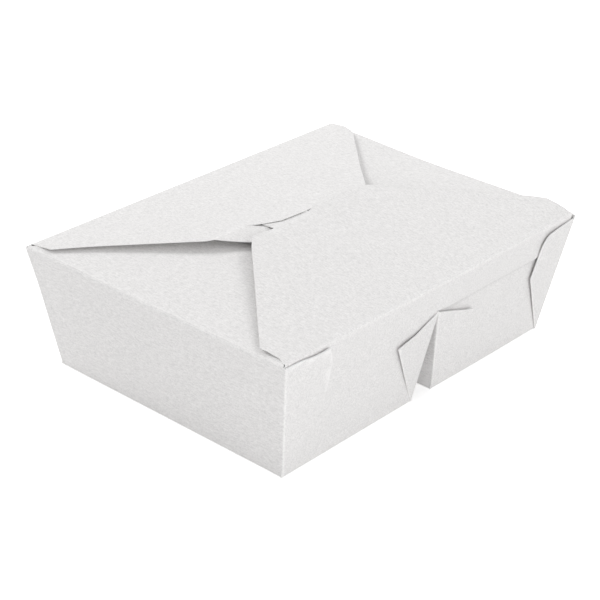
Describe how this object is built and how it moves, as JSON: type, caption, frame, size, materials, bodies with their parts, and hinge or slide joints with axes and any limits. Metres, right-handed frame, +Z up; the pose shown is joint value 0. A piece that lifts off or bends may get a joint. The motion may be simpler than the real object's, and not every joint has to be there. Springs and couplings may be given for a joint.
{
  "type": "takeout food box",
  "caption": "Two-compartment takeout box folded from one sheet of white board, with tapered walls, a raised divider and a low gabled lid of interlocked flaps.",
  "frame": {"origin": "on the table, under the middle of the box", "axes": "+X along the two compartments, -Y towards the long wall that the front flap is hinged on, +Z up"},
  "size_m": [0.2208, 0.164, 0.0747],
  "materials": {
    "box_board": "matte",
    "flap_board": "matte"
  },
  "bodies": {
    "box": {"folded_box": "box_board"},
    "front_flap": {"front_flap": "flap_board"}
  },
  "joints": [
    {"name": "front_flap_hinge", "type": "hinge", "parent": "box", "child": "front_flap", "pos_m": [0, -0.08079, 0.064], "axis": [1, 0, 0], "range_deg": [0, 210]}
  ]
}
